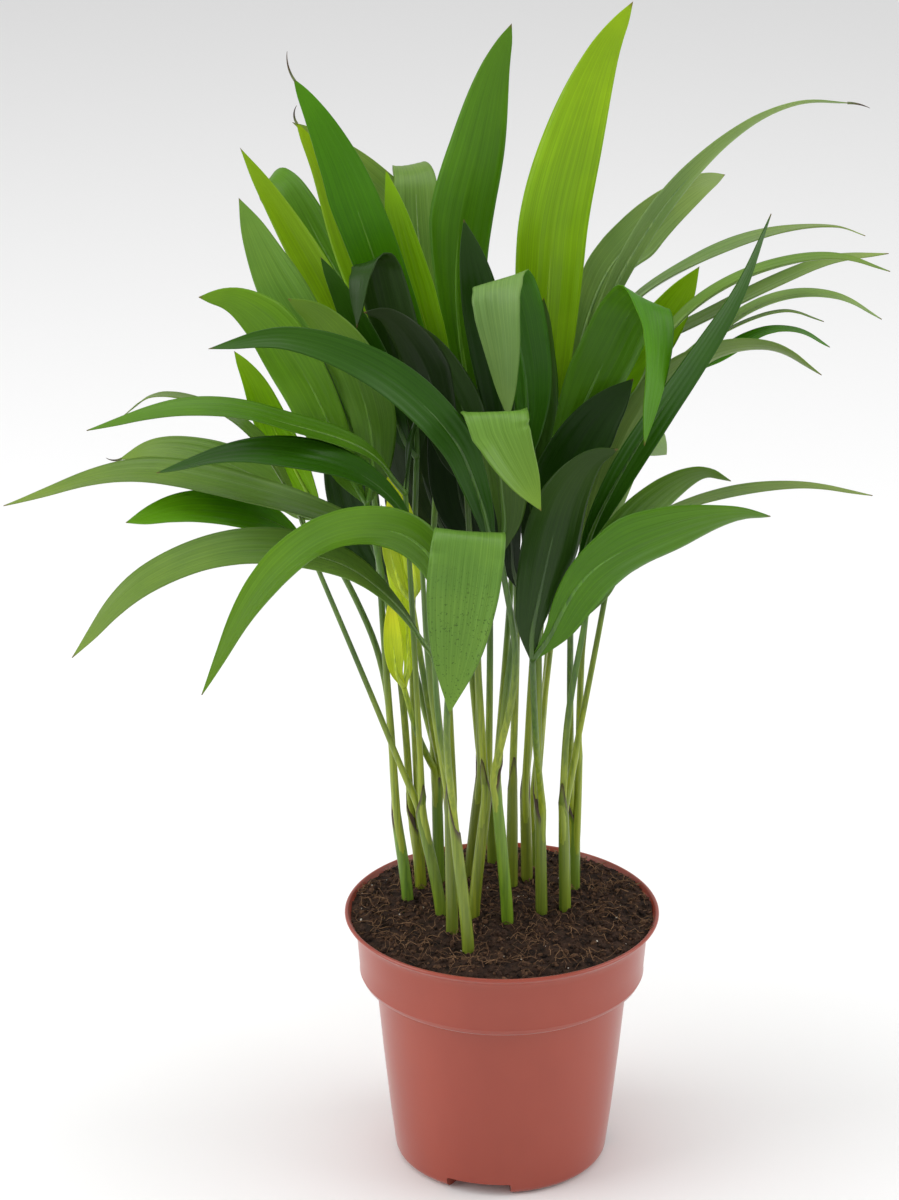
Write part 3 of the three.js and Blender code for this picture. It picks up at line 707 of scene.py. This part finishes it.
def make_crumbs(dark_finish, brown_finish, grain_finish):
    """Crumbs of peat and bark and a few pale grains, sizes in mm, more small ones than large."""
    masters = [crumb_master(0.3) for _ in range(6)]
    kinds = (
        ("soil_crumbs", 2600, dark_finish, (0.35, 1.3)),
        ("bark_crumbs", 900, brown_finish, (0.4, 1.5)),
        ("pale_grains", 60, grain_finish, (0.25, 0.6)),
    )
    for name, count, finish, (small, large) in kinds:
        def place():
            return (*on_soil(), chance.uniform(-0.1, 0.5) * MM)

        def size():
            return MM * (small + (large - small) * chance.random() ** 2.2)
        piece = scattered(name, masters, count, place, size)
        finish_piece(piece, finish, "soil", "soil")
    for master in masters:
        discard(master)


def make_fibres(finish):
    """Thin dry strands of peat and root, lying over the crumbs."""
    curve = bpy.data.curves.new("soil_fibres", "CURVE")
    curve.dimensions = "3D"
    curve.bevel_depth = FIBRE_RADIUS
    curve.bevel_resolution = 0
    curve.resolution_u = 3
    for _ in range(FIBRES):
        x, y = on_soil()
        heading = chance.uniform(0, 2 * math.pi)
        length = chance.uniform(3, 14) * MM
        spline = curve.splines.new("POLY")
        spline.points.add(FIBRE_STEPS - 1)
        thickness = chance.uniform(0.5, 1.6)
        for i, point in enumerate(spline.points):
            if math.hypot(x, y) > SOIL_RADIUS - 1.4 * MM:
                heading += math.pi * 0.6
            arch = math.sin(math.pi * i / (FIBRE_STEPS - 1)) * chance.random()
            lift = (0.5 + 2.2 * arch) * MM
            point.co = (x, y, soil_level(x, y) + lift, 1)
            point.radius = thickness * (1 - 0.5 * i / FIBRE_STEPS)
            x += length / FIBRE_STEPS * math.cos(heading)
            y += length / FIBRE_STEPS * math.sin(heading)
            heading += chance.uniform(-0.7, 0.7)
    piece = bpy.data.objects.new("soil_fibres", curve)
    bpy.context.scene.collection.objects.link(piece)
    take_up(piece)
    bpy.ops.object.convert(target="MESH")
    finish_piece(bpy.context.object, finish, "soil", "soil")


# ---- Reading a shoot's or a leaf's course from its solid ---------------------------------

def welded(node):
    """(vertex places, neighbours of each vertex) of a CAD node, its loose corners merged."""
    piece = copy_of(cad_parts[node], "course")
    piece.parent = None
    take_up(piece)
    bpy.ops.object.mode_set(mode="EDIT")
    bpy.ops.mesh.select_all(action="SELECT")
    bpy.ops.mesh.remove_doubles(threshold=0.01 * MM)
    bpy.ops.object.mode_set(mode="OBJECT")
    places = coordinates(piece)
    neighbours = [set() for _ in places]
    for edge in piece.data.edges:
        a, b = edge.vertices
        neighbours[a].add(b)
        neighbours[b].add(a)
    discard(piece)
    return places, neighbours


def layers_from(start, neighbours, allowed, size):
    """Rings of the given size, one after the other, going out from the start."""
    done = set(start)
    layers = []
    front = set(start)
    while True:
        front = {n for v in front for n in neighbours[v] if n in allowed and n not in done}
        if len(front) != size:
            return layers
        layers.append(front)
        done |= front


def across_ring(ring, neighbours):
    """The ring's two pairs of opposite points."""
    first, *others = sorted(ring)
    opposite = next(v for v in others if v not in neighbours[first])
    rest = [v for v in others if v != opposite]
    return (first, opposite), tuple(rest)


class Lobe:
    """One lobe's middle line and its two margins, from the fork to the tip."""

    def __init__(self, tip, rings, crotch, places, neighbours, fork):
        middle = [fork]
        one_side = []
        other_side = []
        for ring in rings[-2::-1]:
            pairs = across_ring(ring, neighbours)
            faces, margins = sorted(
                pairs, key=lambda pair: np.linalg.norm(places[pair[0]] - places[pair[1]]))
            a, b = (places[m] for m in margins)
            middle.append((places[faces[0]] + places[faces[1]]) / 2)
            if one_side:
                flip = np.dot(a - b, one_side[-1] - other_side[-1]) < 0
            else:
                flip = np.linalg.norm(a - places[crotch]) < np.linalg.norm(b - places[crotch])
            if flip:
                a, b = b, a
            one_side.append(a)
            other_side.append(b)
        self.tip = places[tip]
        across = one_side[0] - other_side[0]
        foot = BLADE_FOOT * across / np.linalg.norm(across)
        self.middle = np.array(middle + [self.tip])
        self.outer = np.array([fork + foot] + one_side + [self.tip])
        self.inner = np.array([fork - foot] + other_side + [self.tip])


class LeafCourse:
    """A leaf's stalk line and its two lobes, the one that ends further left first."""

    def __init__(self, node):
        places, neighbours = welded(node)
        everything = set(range(len(places)))
        lobes = []
        for vertex in everything:
            if len(neighbours[vertex]) == 4:
                rings = layers_from({vertex}, neighbours, everything, 4)
                if len(rings) > 4:
                    lobes.append((vertex, rings))
        if len(lobes) != 2:
            raise SystemExit(f"{node}: {len(lobes)} lobes found")
        (crotch,) = lobes[0][1][-1] & lobes[1][1][-1]
        top = (lobes[0][1][-1] | lobes[1][1][-1]) - {crotch}
        in_lobes = {tip for tip, _ in lobes}
        for _, rings in lobes:
            in_lobes.update(*rings)
        stalk_rings = [top, *layers_from(top, neighbours, everything - in_lobes, 6)]
        self.stalk = np.array([places[sorted(ring)].mean(0) for ring in stalk_rings[::-1]])
        fork = self.stalk[-1]
        made = [Lobe(tip, rings, crotch, places, neighbours, fork) for tip, rings in lobes]
        made.sort(key=lambda lobe: (round(lobe.tip[0] / MM), lobe.tip[2]))
        self.lobes = made


def stem_course(node):
    """The middle line of a shoot's solid, from its foot up to its mouth."""
    places, neighbours = welded(node)
    lowest = places[:, 2].min()
    foot = {v for v in range(len(places)) if places[v][2] < lowest + 0.2 * MM}
    rings = [foot, *layers_from(foot, neighbours, set(range(len(places))), len(foot))]
    return np.array([places[sorted(ring)].mean(0) for ring in rings])


def through(points, where):
    """A smooth curve through the points, read at places from 0, the first, to 1, the last."""
    points = np.asarray(points, float)
    last = len(points) - 1
    ends = np.vstack([2 * points[0] - points[1], points, 2 * points[-1] - points[-2]])
    at = np.clip(np.asarray(where) * last, 0, last - 1e-9)
    i = at.astype(int)
    f = (at - i)[:, None]
    a, b, c, d = (ends[i + k] for k in range(4))
    square = (2 * a - 5 * b + 4 * c - d) * f**2
    cube = (3 * b - a - 3 * c + d) * f**3
    return 0.5 * (2 * b + (c - a) * f + square + cube)


def even_places(points, shares):
    """The places on the curve through the points at these shares of its length."""
    fine = np.linspace(0, 1, 400)
    curve = through(points, fine)
    lengths = np.concatenate([[0], np.cumsum(np.linalg.norm(np.diff(curve, axis=0), axis=1))])
    return np.interp(np.asarray(shares) * lengths[-1], lengths, fine)


def unit(vectors):
    """The same directions, each one long."""
    return vectors / np.maximum(np.linalg.norm(vectors, axis=-1, keepdims=True), 1e-12)


def direction(points, where):
    """The way the smooth curve through the points runs at these places."""
    after = through(points, np.clip(where + 0.01, 0, 1))
    before = through(points, np.clip(where - 0.01, 0, 1))
    return unit(after - before)


# ---- Leaves ------------------------------------------------------------------------------

def blade_master():
    """A flat blade, one wide and one long, pressed into pleats along its length."""
    bpy.ops.object.select_all(action="DESELECT")
    bpy.ops.mesh.primitive_grid_add(
        x_subdivisions=BLADE_COLUMNS, y_subdivisions=BLADE_ROWS, size=1, location=(0, 0.5, 0))
    blade = bpy.context.object
    bpy.ops.object.transform_apply(location=True)
    for vertex in blade.data.vertices:
        across = vertex.co.x * 2
        pleat = math.cos(2 * math.pi * BLADE_PLEATS * (across + 1) / 2)
        fading = math.sin(math.pi * min(1, max(0, vertex.co.y)) ** 0.8) ** 0.5
        vertex.co.z = PLEAT_DEPTH * pleat * fading
        vertex.co.x = across
    return blade


def stalk_master():
    """A closed rod, one long and one in radius, with a groove down its upper part."""
    bpy.ops.object.select_all(action="DESELECT")
    bpy.ops.mesh.primitive_cylinder_add(vertices=STALK_SIDES, radius=1, depth=1, location=(0, 0, 0.5))
    rod = bpy.context.object
    bpy.ops.object.transform_apply(location=True)
    bpy.ops.object.mode_set(mode="EDIT")
    for i in range(1, STALK_ROWS):
        height = i / STALK_ROWS
        bpy.ops.mesh.select_all(action="SELECT")
        bpy.ops.mesh.bisect(plane_co=(0, 0, height), plane_no=(0, 0, 1))
    bpy.ops.object.mode_set(mode="OBJECT")
    for vertex in rod.data.vertices:
        if vertex.co.y > 0.8 and 0.3 < vertex.co.z < 0.99:
            vertex.co.y = GROOVE
    return rod


def lay_rod(master, name, line, radii, colours, side):
    """A copy of the rod laid along a line, its radii in mm and colours at even steps along it."""
    rod = copy_of(master, name)
    local = coordinates(rod)
    shares = np.clip(local[:, 2], 0, 1)
    where = even_places(line, shares)
    centre = through(line, where)
    along = direction(line, where)
    right = unit(side - along * (along @ side)[:, None])
    rear = np.cross(along, right)
    steps = np.linspace(0, 1, len(radii))
    radius = np.interp(shares, steps, np.array(radii) * MM)[:, None]
    place_vertices(rod, centre + right * local[:, :1] * radius + rear * local[:, 1:2] * radius)
    stops = np.linspace(0, 1, len(colours))
    paint_vertices(rod, np.stack([np.interp(shares, stops, channel) for channel in zip(*colours)], 1))
    return rod


def bends_to(lobe):
    """The sum of a lobe's bending towards its raised face: above 0, it bends that way."""
    steps = np.diff(through(lobe.middle, np.linspace(0, 1, 41)), axis=0)
    bend = np.gradient(unit(steps), axis=0)
    margins = np.linspace(0, 1, 40)
    width = through(lobe.outer, margins) - through(lobe.inner, margins)
    return (bend * unit(np.cross(steps, width))).sum()


def bend_sharpness(lobe, where):
    """How fast a lobe turns at these places on it, in radians per metre."""
    steps = np.linspace(0, 1, 81)
    turning = np.linalg.norm(np.diff(direction(lobe.middle, steps), axis=0), axis=1)
    spans = np.linalg.norm(np.diff(through(lobe.middle, steps), axis=0), axis=1)
    return np.interp(where, steps[1:], turning / spans)[:, None]


def blade_colours(top, under, share, character):
    """The colours of both faces: darker at the foot, warmer towards the tip, the tip dry."""
    count = len(share)
    colours = np.vstack([np.tile(top, (count, 1)), np.tile(under, (count, 1))])
    lengthwise = np.tile(share, 2)[:, None]
    warm = np.array([1.35, 1.12, 0.8])
    warmth = np.clip((lengthwise - 0.55) / 0.45, 0, 1) * character["warmth"]
    colours = colours * (1 + (warm - 1) * warmth)
    colours = colours * (0.78 + 0.22 * np.clip(lengthwise / 0.25, 0, 1))
    dry = np.clip((lengthwise - DRY_FROM) / 0.01, 0, 1)
    colours = colours * (1 - dry) + np.array(DRY_TIP) * dry
    return colours * character["depth"]


def lay_blade(master, name, lobe, tone, character):
    """A copy of the blade laid on a lobe's course, with its skin, cup and tone."""
    blade = copy_of(master, name)
    local = coordinates(blade)
    across = np.clip(local[:, :1], -1, 1)
    share = np.clip(local[:, 1], 0, 1)
    where = even_places(lobe.middle, share)
    centre = through(lobe.middle, where)
    to_outer = through(lobe.outer, where) - centre
    to_inner = through(lobe.inner, where) - centre
    side = unit(to_outer - to_inner)
    upper = unit(np.cross(direction(lobe.middle, where), side))
    if bends_to(lobe) > 0:
        upper = -upper
    half = 0.5 * np.linalg.norm(to_outer - to_inner, axis=1, keepdims=True)
    flat = np.where(across > 0, across * to_outer, -across * to_inner)
    s = share[:, None]
    cup = character["cup"] * across**2 * np.sin(np.pi * s) ** 0.5
    swing = character["turns"] * 2 * np.pi * s + character["phase"] + 1.5 * across
    wave = character["wave"] * across**2 * np.sin(swing)
    calm = 1 + (CALMING * bend_sharpness(lobe, where) * half) ** 2
    height = (local[:, 2:3] + cup + wave) * half / calm
    place_vertices(blade, centre + flat + upper * height)
    take_up(blade)
    count = len(blade.data.vertices)
    skin = blade.modifiers.new("skin", "SOLIDIFY")
    skin.thickness = BLADE_THICKNESS
    skin.offset = 0
    bpy.ops.object.modifier_apply(modifier=skin.name)
    first_face = blade.data.polygons[0]
    top, under = TONES[tone]
    if np.dot(np.array(first_face.normal), upper[first_face.vertices[0] % count]) < 0:
        top, under = under, top
    paint_vertices(blade, blade_colours(top, under, share, character))
    specks = blade.data.attributes.new("speckled", "FLOAT", "POINT")
    tipward = np.clip((np.tile(share, 2) - 0.45) / 0.2, 0, 1)
    specks.data.foreach_set("value", character["specks"] * tipward)
    return blade


def lay_tail(master, lobe, length, turn):
    """A dried, curling thread that goes on from a lobe's tip."""
    ahead = direction(lobe.middle, np.array([0.98]))[0]
    side = unit(np.cross(ahead, (0.0, 1.0, 0.0)))
    line = [lobe.middle[-1] - ahead * MM]
    steps = 6
    for i in range(steps):
        angle = math.radians(turn) * i / (steps - 1)
        line.append(line[-1] + length / steps * (ahead * math.cos(angle) + side * math.sin(angle)))
    return lay_rod(master, "tail", np.array(line), TAIL_RADII, (DRY_GREEN, DRY, DRY), side)


def leaf_character(node, lobe):
    """How one lobe differs from the next, the same on every run."""
    own = random.Random(100 * int(node[-2:]) + lobe)
    return {
        "cup": own.uniform(0.12, 0.3),
        "wave": own.uniform(0.03, 0.1),
        "turns": own.uniform(1.2, 2.4),
        "phase": own.uniform(0, 6),
        "warmth": own.uniform(0.2, 1),
        "depth": own.uniform(0.88, 1.12),
        "specks": 0.75 if (node, lobe) in SPECKLED else 0.0,
    }


def stalk_root(foot, shoots):
    """Points inside its shoot that lead up to the foot of a stalk."""
    line = min(shoots.values(), key=lambda course: np.linalg.norm(course[-1] - foot))
    depths = np.array([24, 15, 7]) * MM
    axis = unit(line[-1] - line[-2])
    inside = line[-1] - axis * depths[:, None]
    drift = foot - line[-1]
    drift = drift - axis * (axis @ drift)
    return inside + drift * np.array([0.15, 0.35, 0.75])[:, None]


def make_leaf(node, course, shoots, masters, finishes):
    """A leaf in one piece: two lobes, the stalk, a middle rib on each lobe and any dried tails."""
    blade, rod = masters
    blades = []
    for i, lobe in enumerate(course.lobes):
        blades.append(lay_blade(blade, "lobe", lobe, LEAF_TONES[node][i], leaf_character(node, i)))
    side = unit(course.lobes[1].outer[0] - course.lobes[0].outer[0])
    high = tuple(0.5 * (a + b) for a, b in zip(STALK_HIGH, TONES[LEAF_TONES[node][0]][0]))
    line = np.vstack([stalk_root(course.stalk[0], shoots), course.stalk])
    stalk_colours = (STALK_LOW, STALK_LOW, STALK_HIGH, high)
    rods = [lay_rod(rod, "stalk", line, STALK_RADII, stalk_colours, side)]
    for i, lobe in enumerate(course.lobes):
        tone = TONES[LEAF_TONES[node][i]][1]
        rib_line = through(lobe.middle, np.linspace(0, RIB_SHARE, 8))
        rods.append(lay_rod(rod, "rib", rib_line, RIB_RADII, (high, tone, tone), side))
    for i, lobe in enumerate(course.lobes):
        if (node, i) in TAILS:
            rods.append(lay_tail(rod, lobe, *TAILS[node, i]))
    for piece in blades:
        piece.data.materials.append(finishes[0])
    for piece in rods:
        piece.data.materials.append(finishes[1])
    leaf = joined([*blades, *rods], "palm_" + node)
    take_up(leaf)
    bpy.ops.object.shade_smooth()
    finish_piece(leaf, None, "leaf", node)


# ---- Shoots ------------------------------------------------------------------------------

def sheath_end(rod, start, lean):
    """Cuts the sheath's mouth slanting: it ends low on one side and in a point on the other."""
    local = coordinates(rod)
    toward = (1 + local[:, 0] * lean[0] + local[:, 1] * lean[1]) / 2
    local[:, 2] *= start + (1 - start) * np.clip(toward, 0, 1) ** 2.5
    place_vertices(rod, local)


def make_shoot(node, line, stalks, rod, finish):
    """A shoot's leaf sheath, thick at the soil, its pointed end running up along one stalk."""
    own = random.Random(int(node[-2:]))
    green = np.array(paint(own.uniform(96, 124), own.uniform(116, 136), own.uniform(26, 40)))
    held = min(stalks, key=lambda stalk: np.linalg.norm(stalk[0] - line[-1]) + own.uniform(0, 1) * MM)
    tip_length = own.uniform(11, 17) * MM
    heights = np.concatenate([[0], np.cumsum(np.linalg.norm(np.diff(held, axis=0), axis=1))])
    along_stalk = np.array([0.35, 0.7, 1.0]) * tip_length
    above = np.stack([np.interp(along_stalk, heights, held[:, k]) for k in range(3)], 1)
    full = np.vstack([line, above])
    lengths = np.linalg.norm(np.diff(full, axis=0), axis=1)
    mouth = lengths[:len(line) - 1].sum() / lengths.sum() - MOUTH_DROP
    drift = held[0] - line[-1]
    body = copy_of(rod, "sheath")
    sheath_end(body, mouth, unit(drift[:2]))
    side = np.array([1.0, 0.0, 0.0])
    colours = (SHEATH_FOOT, green, green, green, green, green)
    sheath = lay_rod(body, "palm_shoot_" + node[-2:], full, SHEATH_RADII, colours, side)
    discard(body)
    tone = np.empty(len(sheath.data.vertices) * 4)
    sheath.data.attributes["tone"].data.foreach_get("color", tone)
    tone = tone.reshape(-1, 4)[:, :3]
    edge = np.clip((coordinates(rod)[:, 2] - 0.93) / 0.07, 0, 1)[:, None]
    paint_vertices(sheath, tone * (1 - edge) + np.array(DRY) * edge)
    take_up(sheath)
    bpy.ops.object.shade_smooth()
    finish_piece(sheath, finish, "stem", node)


# ---- The whole plant ---------------------------------------------------------------------

def make_plant():
    """The pot and soil first, then each shoot on its own solid, then each leaf on its own."""
    blade_skin = blade_finish()
    stalk_skin = stalk_finish()
    make_pot(pot_finish())
    peat = soil_finish("peat", paint(28, 20, 17), paint(80, 58, 46), 260)
    bark = soil_finish("bark", paint(60, 42, 32), paint(116, 86, 64), 300)
    straw = soil_finish("straw", paint(80, 56, 40), paint(160, 124, 92), 200)
    grains = soil_finish("grains", paint(188, 176, 160), paint(226, 218, 206), 400)
    make_soil_bed(peat)
    make_crumbs(peat, bark, grains)
    make_fibres(straw)
    blade = blade_master()
    rod = stalk_master()
    shoots = {node: stem_course(node) for node in SHOOT_NODES}
    leaves = {node: LeafCourse(node) for node in LEAF_NODES}
    stalks = [course.stalk for course in leaves.values()]
    for node, line in shoots.items():
        nearest = sorted(stalks, key=lambda stalk: np.linalg.norm(stalk[0] - line[-1]))
        make_shoot(node, line, nearest[:2], rod, stalk_skin)
    for node, course in leaves.items():
        make_leaf(node, course, shoots, (blade, rod), (blade_skin, stalk_skin))
    discard(blade)
    discard(rod)


set_camera()
set_stage()
make_plant()
